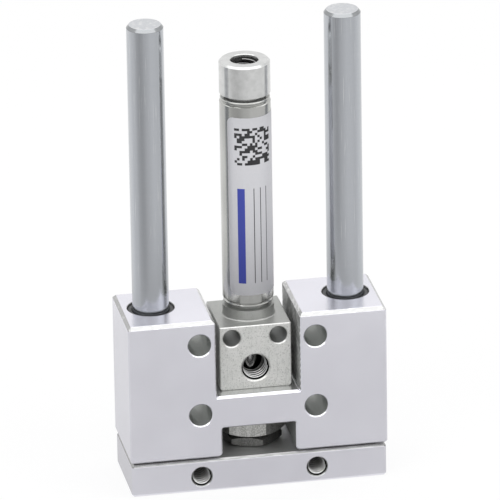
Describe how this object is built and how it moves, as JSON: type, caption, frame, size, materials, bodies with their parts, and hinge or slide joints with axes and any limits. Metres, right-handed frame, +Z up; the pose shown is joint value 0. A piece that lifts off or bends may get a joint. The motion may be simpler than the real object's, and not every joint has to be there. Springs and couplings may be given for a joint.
{
  "type": "guided pneumatic cylinder",
  "caption": "Compact guided air cylinder: a square-headed cylinder on an H-shaped bearing block that slides on guide rods fixed in a tool plate.",
  "frame": {"origin": "middle of the tool plate's lower face, with the cylinder drawn in", "axes": "+X across the guide rods to the right as seen from the ported face, +Y from the ported face to the back, +Z up along the guide rods and the cylinder"},
  "size_m": [0.0452, 0.0162, 0.0838],
  "materials": {
    "block_aluminium": "clear anodised, satin",
    "plate_aluminium": "clear anodised, satin",
    "guide_rod_steel": "hardened and ground",
    "bushing_composite": "dark self-lubricating composite",
    "head_plated": "clear anodised, fine satin",
    "tube_stainless": "drawn stainless, fine polish",
    "cap_plated": "clear anodised, turned",
    "nut_steel": "zinc plated",
    "screw_steel": "black oxide",
    "piston_rod_steel": "ground and polished stainless",
    "piston_aluminium": "turned",
    "seal_rubber": "moulded nitrile",
    "bushing_bronze": "sintered bronze, oiled"
  },
  "bodies": {
    "carriage": {"tool_plate": "plate_aluminium", "guide_rod_left": "guide_rod_steel", "guide_rod_right": "guide_rod_steel", "guide_rod_screws": "screw_steel", "piston_rod": "piston_rod_steel", "rod_jam_nut": "nut_steel", "piston": "piston_aluminium", "piston_seal_front": "seal_rubber", "piston_seal_rear": "seal_rubber"},
    "cylinder_body": {"bearing_block": "block_aluminium", "guide_bushing_lower_left": "bushing_composite", "guide_bushing_lower_right": "bushing_composite", "guide_bushing_upper_left": "bushing_composite", "guide_bushing_upper_right": "bushing_composite", "cylinder_head": "head_plated", "cylinder_tube": "tube_stainless", "end_cap": "cap_plated", "mounting_nut": "nut_steel", "rod_seal": "seal_rubber", "head_o_ring": "seal_rubber", "cap_o_ring": "seal_rubber", "rod_bushing": "bushing_bronze"}
  },
  "joints": [
    {"name": "stroke_slide", "type": "slide", "parent": "carriage", "child": "cylinder_body", "axis": [0, 0, 1], "range_m": [0, 0.0254]}
  ]
}
